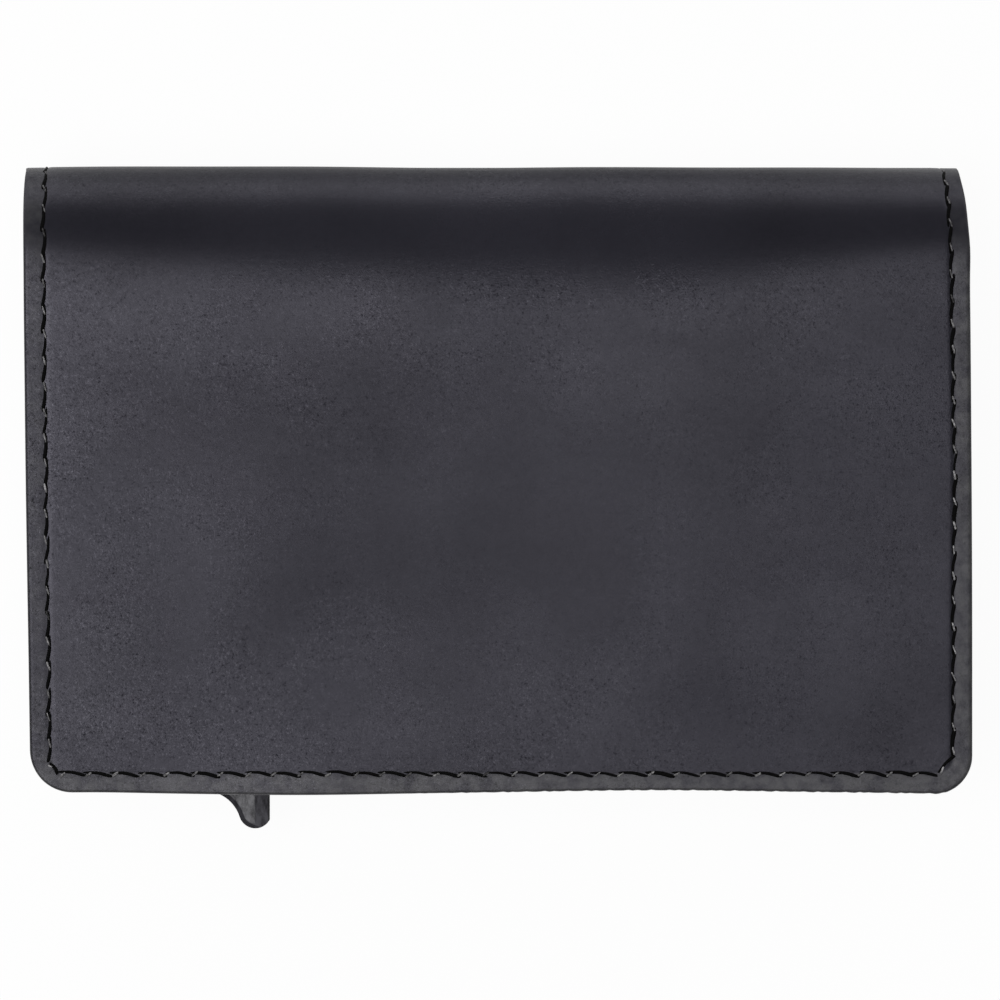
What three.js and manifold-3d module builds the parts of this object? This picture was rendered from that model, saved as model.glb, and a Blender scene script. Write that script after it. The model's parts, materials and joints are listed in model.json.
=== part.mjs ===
// Card wallet: a leather cover folded round an aluminium card case, whose trigger fans the cards out.
// Millimetres, +Z up. The wallet lies on its back. X runs along its length, from the closed end of the
// case to its mouth, and Y runs from the open edge of the leather to its spine. The origin is the
// middle of the back's outer face.

import * as THREE from "three";
import { mergeVertices } from "three/addons/utils/BufferGeometryUtils.js";
import Module from "manifold-3d";

const wasm = await Module();
wasm.setup();

// Cards that the case holds, and their play
const CARD_LENGTH = 85.6;
const CARD_WIDTH = 54;
const CARD_PITCH = 0.8;
const CARD_COUNT = 6;
const CARD_PLAY = 0.8;

// Leather and its layers
const COVER_THICKNESS = 1.3;
const LINING_THICKNESS = 0.8;
const POCKET_THICKNESS = 0.7;
const GLUE_LINE = 0.1;
const SPINE_FLAT = 0.6;
const SPINE_GAP = 2.95;
const EDGE_OVERHANG = 1.4;
const SIDE_OVERHANG = 1.95;
const LEATHER_CORNER_RADIUS = 4.2;
const FOLD_GAP = 0.3;
const FLAP_GAP = 0.3;
const TALL_POCKET_HEIGHT = 46;
const SHORT_POCKET_HEIGHT = 33;
const THUMB_NOTCH_RADIUS = 8;

// Card case
const CASE_WALL = 1;
const CASE_EDGE_RADIUS = 2.5;
const CASE_INNER_RADIUS = 1;
const SPRING_ROOM = 2;
const CAP_FLANGE = 1.2;
const CAP_RIM = 1;
const CAP_RIM_DEPTH = 3.5;
const MOUTH_TONGUE_DEPTH = 4;
const MOUTH_RECESS = 0.8;
const MOUTH_HEADROOM = 0.6;
const MOUTH_PLAY = 0.4;
const MOUTH_LEAD_IN = 0.4;
const PLUG_CLEARANCE = 0.15;
const BOND_THICKNESS = 0.3;
const BOND_MARGIN = 5;

// Slider: ejector, runner, trigger and the rail that guides them
const STEP_PITCH = 1.7;
const EJECTOR_BACK = 1.4;
const EJECTOR_WIDTH = 36;
const RUN_CLEARANCE = 0.25;
const RAIL_WALL = 0.8;
const RUNNER_WIDTH = 2.8;
const RUNNER_NOSE = 4;
const NECK_LENGTH = 6;
const TRIGGER_FROM_REAR = 22.4;
const TRIGGER_TRAVEL = 22;
const TRIGGER_REACH = 4.3;
const TRIGGER_THICKNESS = 4.6;
const TIP_RADIUS = 1.8;
const TIP_FLAT = 0.4;
const FLANK_RADIUS = 4.1;
const FLANGE_TAIL = 1.2;
const FLANGE_SHOW = 0.2;
const TRIGGER_BEVEL = 0.35;
const CHAMFER_WIDTH = 1.35;
const CHAMFER_DEPTH = 0.8;
const WEB_THICKNESS = 2.2;
const WEB_TAIL = 2.4;
const TONGUE_DEPTH = 2;
const SLOT_CLEARANCE = 0.3;
const PIN_RADIUS = 0.5;
const PIN_CLEARANCE = 0.1;

// Pressure spring
const SPRING_THICKNESS = 0.3;
const SPRING_WIDTH = 8;
const SPRING_SPAN = 44;
const SPRING_FOOT = 4;
const SPRING_SAG = 1.3;
const SPRING_FROM_MOUTH = 16;

// Magnetic closure
const MAGNET_RADIUS = 5;
const MAGNET_CLEARANCE = 0.15;
const MAGNET_FROM_MIDDLE = 32;
const MAGNET_FROM_EDGE = 12;
const KEEPER_THICKNESS = 0.4;

// How far a cutter runs past the face that it cuts
const CUT_PAST = 1;

// Facets of a rounded corner, a disc and the bow of the spring
const ROUND_SEGMENTS = 10;
const DISC_SEGMENTS = 40;
const BOW_SEGMENTS = 16;

// Case sizes, in the frame of the case: Y from its trigger side, Z from its underside
const stackHeight = CARD_COUNT * CARD_PITCH;
const railWidth = RAIL_WALL + RUN_CLEARANCE + RUNNER_WIDTH;
const innerWidth = GLUE_LINE + railWidth + CARD_PLAY + CARD_WIDTH + CARD_PLAY;
const caseWidth = innerWidth + 2 * CASE_WALL;
const innerHeight = stackHeight + SPRING_ROOM;
const caseThickness = innerHeight + 2 * CASE_WALL;
const ejectorDepth = EJECTOR_BACK + (CARD_COUNT - 1) * STEP_PITCH;
const cardSpace = RUN_CLEARANCE + ejectorDepth + RUN_CLEARANCE + CARD_LENGTH;
const caseLength = CAP_FLANGE + cardSpace + MOUTH_RECESS;
const rearFace = -caseLength / 2;
const mouthFace = caseLength / 2;
const shellRear = rearFace + CAP_FLANGE + GLUE_LINE;
const shellFront = mouthFace - CAP_FLANGE - GLUE_LINE;
const floorZ = CASE_WALL;
const ceilingZ = caseThickness - CASE_WALL;
const railY = CASE_WALL + GLUE_LINE;
const railEnd = railY + railWidth;
const farWallY = caseWidth - CASE_WALL;
const cardY = railEnd + CARD_PLAY;
const middleZ = caseThickness / 2;

// Slider sizes, in the same frame
const ejectorStart = railEnd + RUN_CLEARANCE;
const ejectorRear = rearFace + CAP_FLANGE + RUN_CLEARANCE;
const ejectorFloor = floorZ + RUN_CLEARANCE;
const ejectorTop = floorZ + stackHeight;
const runnerY = railY + RAIL_WALL + RUN_CLEARANCE / 2;
const runnerLow = floorZ + GLUE_LINE + RAIL_WALL + RUN_CLEARANCE;
const runnerHigh = ceilingZ - GLUE_LINE - RAIL_WALL - RUN_CLEARANCE;
const pinY = runnerY + TONGUE_DEPTH / 2;
const triggerX = rearFace + TRIGGER_FROM_REAR;
const finFront = TIP_RADIUS - TIP_FLAT;
const slotStart = triggerX - WEB_TAIL - SLOT_CLEARANCE;
const slotEnd = triggerX + finFront + TRIGGER_TRAVEL + SLOT_CLEARANCE;
const slotHalf = WEB_THICKNESS / 2 + SLOT_CLEARANCE;

// Leather sizes, in the frame of the wallet
const wrapThickness = COVER_THICKNESS + GLUE_LINE + LINING_THICKNESS;
const pocketStack = 2 * (POCKET_THICKNESS + GLUE_LINE);
const caseBottom = wrapThickness + GLUE_LINE + BOND_THICKNESS + GLUE_LINE;
const closedThickness = caseBottom + caseThickness + FLAP_GAP + pocketStack + wrapThickness;
const closedHeight = EDGE_OVERHANG + caseWidth + SPINE_GAP + wrapThickness;
const leatherLength = caseLength + 2 * SIDE_OVERHANG;
const openEdge = -closedHeight / 2;
const caseY = openEdge + EDGE_OVERHANG;
const spineRadius = (closedThickness - SPINE_FLAT) / 2;
const foldStart = closedHeight / 2 - spineRadius;
const liningOffset = COVER_THICKNESS + GLUE_LINE;
const magnetY = openEdge + MAGNET_FROM_EDGE;
const magnetPlaces = { left: -MAGNET_FROM_MIDDLE, right: MAGNET_FROM_MIDDLE };

// Materials
const leather = new THREE.MeshStandardMaterial({ color: 0x3f3e44, roughness: 0.62, metalness: 0 });
const liningLeather = new THREE.MeshStandardMaterial({ color: 0x2c2b2e, roughness: 0.7, metalness: 0 });
const anodised = new THREE.MeshStandardMaterial({ color: 0x4a4b50, roughness: 0.38, metalness: 1 });
const blackPlastic = new THREE.MeshStandardMaterial({ color: 0x1d1e20, roughness: 0.5, metalness: 0 });
const triggerMetal = new THREE.MeshStandardMaterial({ color: 0x55545a, roughness: 0.45, metalness: 0.6 });
const springSteel = new THREE.MeshStandardMaterial({ color: 0xb9bcc0, roughness: 0.3, metalness: 1 });
const magnetNickel = new THREE.MeshStandardMaterial({ color: 0xa9abad, roughness: 0.28, metalness: 1 });
const tape = new THREE.MeshStandardMaterial({ color: 0x3a3a38, roughness: 0.9, metalness: 0 });

// Solids: a closed geometry becomes a manifold for cuts and joins, and comes back as a geometry
function toSolid(geometry) {
  const bare = geometry.clone();
  bare.deleteAttribute("normal");
  bare.deleteAttribute("uv");
  const merged = mergeVertices(bare, 1e-4);
  return new wasm.Manifold(new wasm.Mesh({
    numProp: 3,
    vertProperties: merged.attributes.position.array,
    triVerts: new Uint32Array(merged.index.array),
  }));
}

function toGeometry(solid) {
  const mesh = solid.getMesh();
  const geometry = new THREE.BufferGeometry();
  geometry.setAttribute("position", new THREE.BufferAttribute(mesh.vertProperties, 3));
  geometry.setIndex(new THREE.BufferAttribute(mesh.triVerts, 1));
  geometry.computeVertexNormals();
  return geometry;
}

function combine(first, joined, cut = []) {
  let solid = toSolid(first);
  for (const geometry of joined) solid = solid.add(toSolid(geometry));
  for (const geometry of cut) solid = solid.subtract(toSolid(geometry));
  return toGeometry(solid);
}

function common(first, second) {
  return toGeometry(toSolid(first).intersect(toSolid(second)));
}

// Basic forms
function block([x0, y0, z0], [x1, y1, z1]) {
  const geometry = new THREE.BoxGeometry(x1 - x0, y1 - y0, z1 - z0);
  return geometry.translate((x0 + x1) / 2, (y0 + y1) / 2, (z0 + z1) / 2);
}

function disc(x, y, z0, z1, radius) {
  const geometry = new THREE.CylinderGeometry(radius, radius, z1 - z0, DISC_SEGMENTS);
  return geometry.rotateX(Math.PI / 2).translate(x, y, (z0 + z1) / 2);
}

function roundedRectangle(x0, y0, x1, y1, radius) {
  const shape = new THREE.Shape();
  shape.absarc(x1 - radius, y0 + radius, radius, -Math.PI / 2, 0);
  shape.absarc(x1 - radius, y1 - radius, radius, 0, Math.PI / 2);
  shape.absarc(x0 + radius, y1 - radius, radius, Math.PI / 2, Math.PI);
  shape.absarc(x0 + radius, y0 + radius, radius, Math.PI, 1.5 * Math.PI);
  return shape;
}

// A plan outline in X and Y, made solid from z0 to z1
function plate(outline, z0, z1) {
  const options = { depth: z1 - z0, bevelEnabled: false, curveSegments: ROUND_SEGMENTS };
  return new THREE.ExtrudeGeometry(outline, options).translate(0, 0, z0);
}

// A section in Y and Z, made solid along X from x0 to x1
const SECTION_TO_WORLD = new THREE.Matrix4().makeBasis(
  new THREE.Vector3(0, 1, 0),
  new THREE.Vector3(0, 0, 1),
  new THREE.Vector3(1, 0, 0),
);

function bar(section, x0, x1) {
  const options = { depth: x1 - x0, bevelEnabled: false, curveSegments: ROUND_SEGMENTS };
  return new THREE.ExtrudeGeometry(section, options).applyMatrix4(SECTION_TO_WORLD).translate(x0, 0, 0);
}

// A side outline in X and Z, made solid along Y from y0 to y1
const SIDE_TO_WORLD = new THREE.Matrix4().makeBasis(
  new THREE.Vector3(1, 0, 0),
  new THREE.Vector3(0, 0, 1),
  new THREE.Vector3(0, -1, 0),
);

function slab(outline, y0, y1) {
  const options = { depth: y1 - y0, bevelEnabled: false, curveSegments: ROUND_SEGMENTS };
  return new THREE.ExtrudeGeometry(outline, options).applyMatrix4(SIDE_TO_WORLD).translate(0, y1, 0);
}

function place(group, name, geometry, material) {
  const mesh = new THREE.Mesh(geometry, material);
  mesh.name = name;
  group.add(mesh);
}

// Leather panels

// The outline that the leather is cut to: round at the open edge, square at the spine
function leatherOutline(top) {
  const half = leatherLength / 2;
  const radius = LEATHER_CORNER_RADIUS;
  const outline = new THREE.Shape();
  outline.moveTo(-half, top);
  outline.lineTo(-half, openEdge + radius);
  outline.absarc(-half + radius, openEdge + radius, radius, Math.PI, 1.5 * Math.PI);
  outline.absarc(half - radius, openEdge + radius, radius, 1.5 * Math.PI, 2 * Math.PI);
  outline.lineTo(half, top);
  return outline;
}

// Each quarter round of the fold is split along its 45 degree line, with a gap for the hinge
function splitAngle(radius) {
  return Math.PI / 4 - FOLD_GAP / 2 / radius;
}

// Section of the back panel: flat from the open edge, then half of the quarter round of the fold.
// Offset is the depth of the layer below the outer face.
function panelSection(offset, thickness) {
  const outer = spineRadius - offset;
  const inner = outer - thickness;
  const start = -Math.PI / 2;
  const section = new THREE.Shape();
  section.moveTo(openEdge, offset);
  section.lineTo(foldStart, offset);
  section.absarc(foldStart, spineRadius, outer, start, start + splitAngle(outer));
  section.absarc(foldStart, spineRadius, inner, start + splitAngle(inner), start, true);
  section.lineTo(openEdge, offset + thickness);
  return section;
}

// Section of the spine: the other halves of both quarter rounds, with the straight between them
function spineSection(offset, thickness) {
  const outer = spineRadius - offset;
  const inner = outer - thickness;
  const low = spineRadius;
  const high = closedThickness - spineRadius;
  const section = new THREE.Shape();
  section.absarc(foldStart, low, outer, -splitAngle(outer), 0);
  section.absarc(foldStart, high, outer, 0, splitAngle(outer));
  section.absarc(foldStart, high, inner, splitAngle(inner), 0, true);
  section.absarc(foldStart, low, inner, 0, -splitAngle(inner), true);
  return section;
}

function backPanel(offset, thickness) {
  const wrapped = bar(panelSection(offset, thickness), -leatherLength / 2, leatherLength / 2);
  const outline = plate(leatherOutline(closedHeight), 0, closedThickness);
  return common(wrapped, outline);
}

// The front panel is the back panel turned over about the middle of the closed thickness
function frontPanel(offset, thickness) {
  const turned = backPanel(offset, thickness).rotateY(Math.PI);
  return turned.translate(0, 0, closedThickness);
}

function spinePanel(offset, thickness) {
  return bar(spineSection(offset, thickness), -leatherLength / 2, leatherLength / 2);
}

// The flap's lining has a round window for each magnet
function frontLining() {
  const low = closedThickness - wrapThickness - GLUE_LINE;
  const windows = Object.values(magnetPlaces).map((x) =>
    disc(x, magnetY, low, closedThickness - COVER_THICKNESS, MAGNET_RADIUS + MAGNET_CLEARANCE));
  return combine(frontPanel(liningOffset, LINING_THICKNESS), [], windows);
}

// A card pocket: a flat panel with its mouth towards the spine and a notch for the thumb
function pocketPanel(height, low) {
  const top = openEdge + height;
  const notch = disc(0, top, low - GLUE_LINE, low + POCKET_THICKNESS + GLUE_LINE, THUMB_NOTCH_RADIUS);
  return combine(plate(leatherOutline(top), low, low + POCKET_THICKNESS), [], [notch]);
}

// Card case

// Sections of the tube: its outside, and its inside drawn in by a clearance
function outerSection() {
  return roundedRectangle(0, 0, caseWidth, caseThickness, CASE_EDGE_RADIUS);
}

function innerSection(inset) {
  const low = CASE_WALL + inset;
  return roundedRectangle(low, low, farWallY - inset, ceilingZ - inset, CASE_INNER_RADIUS);
}

// The trigger's slot, through the wall of the tube and the back of the rail
function slot(y0, y1) {
  return block([slotStart, y0, middleZ - slotHalf], [slotEnd, y1, middleZ + slotHalf]);
}

const keeperDepth = KEEPER_THICKNESS + GLUE_LINE;

function caseShell() {
  const section = outerSection();
  section.holes.push(innerSection(0));
  const recesses = Object.values(magnetPlaces).map((x) => disc(
    x, magnetY - caseY, caseThickness - keeperDepth, caseThickness + keeperDepth,
    MAGNET_RADIUS + MAGNET_CLEARANCE,
  ));
  return combine(bar(section, shellRear, shellFront), [], [slot(-CASE_WALL, railY), ...recesses]);
}

// The closed end: a flange over the tube, and a rim inside it that leaves the slider's path free
function rearCap() {
  const inside = shellRear + CAP_RIM_DEPTH;
  const rim = innerSection(PLUG_CLEARANCE);
  rim.holes.push(innerSection(PLUG_CLEARANCE + CAP_RIM));
  const flangeEnd = rearFace + CAP_FLANGE;
  const ejectorPath = block(
    [flangeEnd, 0, 0],
    [inside + CUT_PAST, ejectorStart + EJECTOR_WIDTH + RUN_CLEARANCE, ejectorTop + RUN_CLEARANCE],
  );
  const railPath = block(
    [flangeEnd, 0, 0],
    [inside + CUT_PAST, railEnd + RUN_CLEARANCE, caseThickness],
  );
  return combine(bar(outerSection(), rearFace, flangeEnd), [
    combine(bar(rim, flangeEnd, inside), [], [ejectorPath, railPath]),
  ]);
}

// The end that the cards leave by: a flange with an opening that leads them in, and a tongue under
// the ceiling of the tube
function mouthFrame() {
  const flangeStart = mouthFace - CAP_FLANGE;
  const mouthTop = ejectorTop + MOUTH_HEADROOM;
  const opening = roundedRectangle(
    cardY - MOUTH_PLAY, floorZ, cardY + CARD_WIDTH + MOUTH_PLAY, mouthTop, MOUTH_LEAD_IN);
  const leadIn = new THREE.ExtrudeGeometry(opening, {
    depth: CAP_FLANGE, bevelEnabled: true, bevelSegments: 1, curveSegments: ROUND_SEGMENTS,
    bevelSize: MOUTH_LEAD_IN, bevelThickness: MOUTH_LEAD_IN,
  }).applyMatrix4(SECTION_TO_WORLD).translate(mouthFace, 0, 0);
  const tongue = block(
    [flangeStart - MOUTH_TONGUE_DEPTH, railEnd + RUN_CLEARANCE, mouthTop],
    [flangeStart, farWallY - CASE_INNER_RADIUS, ceilingZ - PLUG_CLEARANCE],
  );
  return combine(
    bar(outerSection(), flangeStart, mouthFace),
    [tongue],
    [bar(opening, flangeStart - CUT_PAST, mouthFace + CUT_PAST), leadIn],
  );
}

// A channel along the trigger side, open towards the cards
function guideRail() {
  const low = floorZ + GLUE_LINE;
  const high = ceilingZ - GLUE_LINE;
  const channel = block(
    [shellRear - CUT_PAST, railY + RAIL_WALL, low + RAIL_WALL],
    [shellFront + CUT_PAST, railEnd + CUT_PAST, high - RAIL_WALL],
  );
  const inside = bar(innerSection(GLUE_LINE), shellRear, shellFront);
  const stock = block([shellRear, 0, 0], [shellFront, railEnd, caseThickness]);
  return combine(common(stock, inside), [], [channel, slot(0, railY + RAIL_WALL + CUT_PAST)]);
}

// A bowed leaf with flat feet, held under the ceiling
function pressureSpring() {
  const top = ceilingZ - GLUE_LINE;
  const middle = (railEnd + farWallY) / 2;
  const bow = SPRING_SPAN / 2 - SPRING_FOOT;
  const height = (y) => (SPRING_SAG / 2) * (1 + Math.cos((Math.PI * y) / bow));
  const ys = Array.from({ length: BOW_SEGMENTS + 1 }, (_, i) => bow * ((2 * i) / BOW_SEGMENTS - 1));
  const section = new THREE.Shape();
  section.moveTo(middle - SPRING_SPAN / 2, top - SPRING_THICKNESS);
  for (const y of ys) section.lineTo(middle + y, top - SPRING_THICKNESS - height(y));
  section.lineTo(middle + SPRING_SPAN / 2, top - SPRING_THICKNESS);
  section.lineTo(middle + SPRING_SPAN / 2, top);
  for (const y of ys.reverse()) section.lineTo(middle + y, top - height(y));
  section.lineTo(middle - SPRING_SPAN / 2, top);
  const centre = mouthFace - SPRING_FROM_MOUTH;
  return bar(section, centre - SPRING_WIDTH / 2, centre + SPRING_WIDTH / 2);
}

// Slider

// The pusher is a staircase, one step a card: the lowest card is pushed first and comes out furthest.
// A runner beside the cards carries it to the trigger.
function ejector() {
  const stairs = new THREE.Shape();
  stairs.moveTo(ejectorRear, ejectorFloor);
  for (let i = 0; i < CARD_COUNT; i += 1) {
    const front = ejectorRear + ejectorDepth - i * STEP_PITCH;
    stairs.lineTo(front, i === 0 ? ejectorFloor : floorZ + i * CARD_PITCH);
    stairs.lineTo(front, floorZ + (i + 1) * CARD_PITCH);
  }
  stairs.lineTo(ejectorRear, ejectorTop);
  const runner = block(
    [ejectorRear, runnerY, runnerLow],
    [triggerX + RUNNER_NOSE, runnerY + RUNNER_WIDTH, runnerHigh],
  );
  const neckTop = Math.min(ejectorTop, runnerHigh);
  const neck = block(
    [ejectorRear, runnerY + RUNNER_WIDTH / 2, runnerLow],
    [ejectorRear + NECK_LENGTH, ejectorStart + NECK_LENGTH, neckTop],
  );
  const neckStairs = common(neck, slab(stairs, runnerY, ejectorStart + NECK_LENGTH));
  const socket = block(
    [triggerX - WEB_TAIL - PIN_CLEARANCE, runnerY - CUT_PAST, middleZ - WEB_THICKNESS / 2 - PIN_CLEARANCE],
    [triggerX + finFront + PIN_CLEARANCE, runnerY + TONGUE_DEPTH + PIN_CLEARANCE,
      middleZ + WEB_THICKNESS / 2 + PIN_CLEARANCE],
  );
  const pinHole = disc(triggerX, pinY, 0, caseThickness, PIN_RADIUS + PIN_CLEARANCE);
  const pusher = slab(stairs, ejectorStart, ejectorStart + EJECTOR_WIDTH);
  return combine(runner, [neckStairs, pusher], [socket, pinHole]);
}

// The fin: a straight front, a round tip and a hollow flank for the thumb, seen from above with its
// tip at x 0 and the face of the case at y 0. The flank's round leaves the flange at its outer face
// and runs into the round of the tip.
function finOutline() {
  const tipY = TIP_RADIUS - TRIGGER_REACH - EDGE_OVERHANG;
  const flangeFace = -EDGE_OVERHANG - FLANGE_SHOW;
  const flankY = flangeFace - FLANK_RADIUS;
  const flankX = -Math.sqrt((FLANK_RADIUS + TIP_RADIUS) ** 2 - (flankY - tipY) ** 2);
  const meeting = Math.atan2(tipY - flankY, -flankX);
  const frontAngle = Math.acos(finFront / TIP_RADIUS);
  const outline = new THREE.Shape();
  outline.moveTo(finFront, -SLOT_CLEARANCE);
  outline.lineTo(flankX - FLANGE_TAIL, -SLOT_CLEARANCE);
  outline.lineTo(flankX - FLANGE_TAIL, flangeFace);
  outline.absarc(flankX, flankY, FLANK_RADIUS, Math.PI / 2, meeting, true);
  outline.absarc(0, tipY, TIP_RADIUS, Math.PI + meeting, 2 * Math.PI - frontAngle);
  return outline;
}

// The bevel round the fin is at most a third of the thickness of its flange
const finBevel = Math.min(TRIGGER_BEVEL, (EDGE_OVERHANG - SLOT_CLEARANCE) / 3);

function trigger() {
  const half = TRIGGER_THICKNESS / 2;
  const fin = new THREE.ExtrudeGeometry(finOutline(), {
    depth: TRIGGER_THICKNESS - 2 * finBevel, bevelEnabled: true, bevelSegments: 1,
    bevelSize: finBevel, bevelOffset: -finBevel, bevelThickness: finBevel,
    curveSegments: ROUND_SEGMENTS,
  }).translate(triggerX, 0, middleZ - half + finBevel);
  const web = block(
    [triggerX - WEB_TAIL, -EDGE_OVERHANG, middleZ - WEB_THICKNESS / 2],
    [triggerX + finFront - finBevel, runnerY + TONGUE_DEPTH, middleZ + WEB_THICKNESS / 2],
  );
  const front = triggerX + finFront;
  const chamfer = (side) => {
    const wedge = new THREE.Shape();
    wedge.moveTo(front - 2 * CHAMFER_WIDTH, middleZ + side * (half + CHAMFER_DEPTH));
    wedge.lineTo(front + CHAMFER_WIDTH, middleZ + side * (half + CHAMFER_DEPTH));
    wedge.lineTo(front + CHAMFER_WIDTH, middleZ + side * (half - 2 * CHAMFER_DEPTH));
    return slab(wedge, -EDGE_OVERHANG - TRIGGER_REACH - CUT_PAST, 0);
  };
  const pinHole = disc(triggerX, pinY, 0, caseThickness, PIN_RADIUS + PIN_CLEARANCE);
  return combine(fin, [web], [chamfer(1), chamfer(-1), pinHole]);
}

// Assembly

const wallet = new THREE.Group();
wallet.name = "card_wallet";

const back = new THREE.Group();
place(back, "back_cover", backPanel(0, COVER_THICKNESS), leather);
place(back, "back_lining", backPanel(liningOffset, LINING_THICKNESS), liningLeather);
place(back, "bonding_pad", block(
  [-caseLength / 2 + BOND_MARGIN, caseY + BOND_MARGIN, wrapThickness + GLUE_LINE],
  [caseLength / 2 - BOND_MARGIN, caseY + caseWidth - BOND_MARGIN, caseBottom - GLUE_LINE],
), tape);
wallet.add(back);

const spine = new THREE.Group();
place(spine, "spine_cover", spinePanel(0, COVER_THICKNESS), leather);
place(spine, "spine_lining", spinePanel(liningOffset, LINING_THICKNESS), liningLeather);
wallet.add(spine);

const flap = new THREE.Group();
const tallPocketLow = closedThickness - wrapThickness - GLUE_LINE - POCKET_THICKNESS;
const shortPocketLow = tallPocketLow - GLUE_LINE - POCKET_THICKNESS;
place(flap, "front_cover", frontPanel(0, COVER_THICKNESS), leather);
place(flap, "front_lining", frontLining(), liningLeather);
place(flap, "card_pocket_tall", pocketPanel(TALL_POCKET_HEIGHT, tallPocketLow), liningLeather);
place(flap, "card_pocket_short", pocketPanel(SHORT_POCKET_HEIGHT, shortPocketLow), liningLeather);
for (const [side, x] of Object.entries(magnetPlaces)) {
  const low = closedThickness - wrapThickness;
  const magnet = disc(x, magnetY, low, low + LINING_THICKNESS, MAGNET_RADIUS);
  place(flap, `flap_magnet_${side}`, magnet, magnetNickel);
}
wallet.add(flap);

const cardCase = new THREE.Group();
cardCase.position.set(0, caseY, caseBottom);
place(cardCase, "case_shell", caseShell(), anodised);
place(cardCase, "rear_cap", rearCap(), blackPlastic);
place(cardCase, "mouth_frame", mouthFrame(), blackPlastic);
place(cardCase, "guide_rail", guideRail(), blackPlastic);
place(cardCase, "pressure_spring", pressureSpring(), springSteel);
for (const [side, x] of Object.entries(magnetPlaces)) {
  const keeper = disc(
    x, magnetY - caseY, caseThickness - KEEPER_THICKNESS, caseThickness, MAGNET_RADIUS);
  place(cardCase, `keeper_plate_${side}`, keeper, springSteel);
}

const slider = new THREE.Group();
place(slider, "ejector", ejector(), blackPlastic);
place(slider, "trigger", trigger(), triggerMetal);
place(slider, "trigger_pin", disc(triggerX, pinY, runnerLow, runnerHigh, PIN_RADIUS), springSteel);
cardCase.add(slider);
wallet.add(cardCase);

export default wallet;
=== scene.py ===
# %% [markdown]
# A leather card wallet
#
# The wallet is a leather wrap, folded once over its spine, with a slim metal card case glued inside.
# A small fin at the open edge pushes the cards out in a fan. The solids of the mechanism come from the
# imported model, which is loaded first as a fixed frame. What makes the wallet look like leather, the
# rolled fold, the sewn edge and the finishes, is made here around that frame.

# %% Load the fixed frame
import json
import math

import bpy
import numpy as np
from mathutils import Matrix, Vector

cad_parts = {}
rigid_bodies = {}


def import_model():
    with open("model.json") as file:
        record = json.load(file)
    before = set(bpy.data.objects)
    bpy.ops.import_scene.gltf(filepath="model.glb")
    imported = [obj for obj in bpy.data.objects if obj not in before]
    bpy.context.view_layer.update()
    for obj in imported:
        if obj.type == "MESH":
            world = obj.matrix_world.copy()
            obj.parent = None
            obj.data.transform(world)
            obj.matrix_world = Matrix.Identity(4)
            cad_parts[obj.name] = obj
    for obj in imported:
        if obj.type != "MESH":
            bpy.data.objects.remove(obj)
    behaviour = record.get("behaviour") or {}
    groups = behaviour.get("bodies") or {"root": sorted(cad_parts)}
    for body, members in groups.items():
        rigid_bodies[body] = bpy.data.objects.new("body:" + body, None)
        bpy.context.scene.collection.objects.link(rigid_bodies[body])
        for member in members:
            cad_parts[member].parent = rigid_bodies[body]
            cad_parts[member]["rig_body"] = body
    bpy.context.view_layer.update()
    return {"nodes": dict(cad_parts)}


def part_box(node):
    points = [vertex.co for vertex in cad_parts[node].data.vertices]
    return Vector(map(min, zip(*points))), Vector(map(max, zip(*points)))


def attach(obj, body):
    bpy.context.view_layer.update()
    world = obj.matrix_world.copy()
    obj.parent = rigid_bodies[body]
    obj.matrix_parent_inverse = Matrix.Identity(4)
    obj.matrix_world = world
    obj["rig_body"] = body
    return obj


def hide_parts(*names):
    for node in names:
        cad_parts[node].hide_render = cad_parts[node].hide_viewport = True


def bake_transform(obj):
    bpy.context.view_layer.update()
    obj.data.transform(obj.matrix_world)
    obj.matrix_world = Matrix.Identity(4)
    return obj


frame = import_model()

print("nodes in the frame:", len(frame["nodes"]))

# %% [markdown]
# Measures
#
# The leather is worked out in millimetres, as a leather worker would, and turned into metres at the
# end. The outside measures come from the solids, so the leather always fits the frame. Depths count
# inwards from the outer face of the leather.

# %% Measures of the closed wallet
MM = 0.001


def box_of(node):
    return [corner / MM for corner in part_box(node)]


front_low, front_high = box_of("front_cover")
spine_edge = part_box("spine_cover")[1].y / MM
half_length = front_high.x
open_edge = front_low.y
closed_height = spine_edge - open_edge
closed_thickness = front_high.z
middle = closed_thickness / 2
print("closed wallet, mm:", 2 * half_length, closed_height, closed_thickness)

# %% [markdown]
# Working on one piece at a time
#
# Blender's operators act on whatever is selected, and loading the frame leaves its nodes selected. So
# each step selects its own piece first. Modifiers are applied at once, because the points of the sheet
# are moved in code afterwards.


# %% Select a piece, apply a modifier, add an object
def select_only(piece):
    bpy.ops.object.select_all(action="DESELECT")
    piece.select_set(True)
    bpy.context.view_layer.objects.active = piece


def apply_modifier(piece, kind, **settings):
    select_only(piece)
    modifier = piece.modifiers.new(kind.lower(), kind)
    for name, value in settings.items():
        setattr(modifier, name, value)
    bpy.ops.object.modifier_apply(modifier=modifier.name)


def put_in_scene(name, data):
    thing = bpy.data.objects.new(name, data)
    bpy.context.scene.collection.objects.link(thing)
    return thing


print("selected after loading:", len(bpy.context.selected_objects))


# %% Faces, points and marks of a piece
def face_outwards(piece):
    select_only(piece)
    bpy.ops.object.mode_set(mode="EDIT")
    bpy.ops.mesh.select_all(action="SELECT")
    bpy.ops.mesh.normals_make_consistent(inside=False)
    bpy.ops.object.mode_set(mode="OBJECT")


def smooth(piece, degrees):
    select_only(piece)
    bpy.ops.object.shade_smooth_by_angle(angle=math.radians(degrees))


def points_of(piece):
    points = np.zeros(len(piece.data.vertices) * 3)
    piece.data.vertices.foreach_get("co", points)
    return points.reshape(-1, 3)


def move_points(piece, points):
    piece.data.vertices.foreach_set("co", points.ravel())
    piece.data.update()


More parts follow.
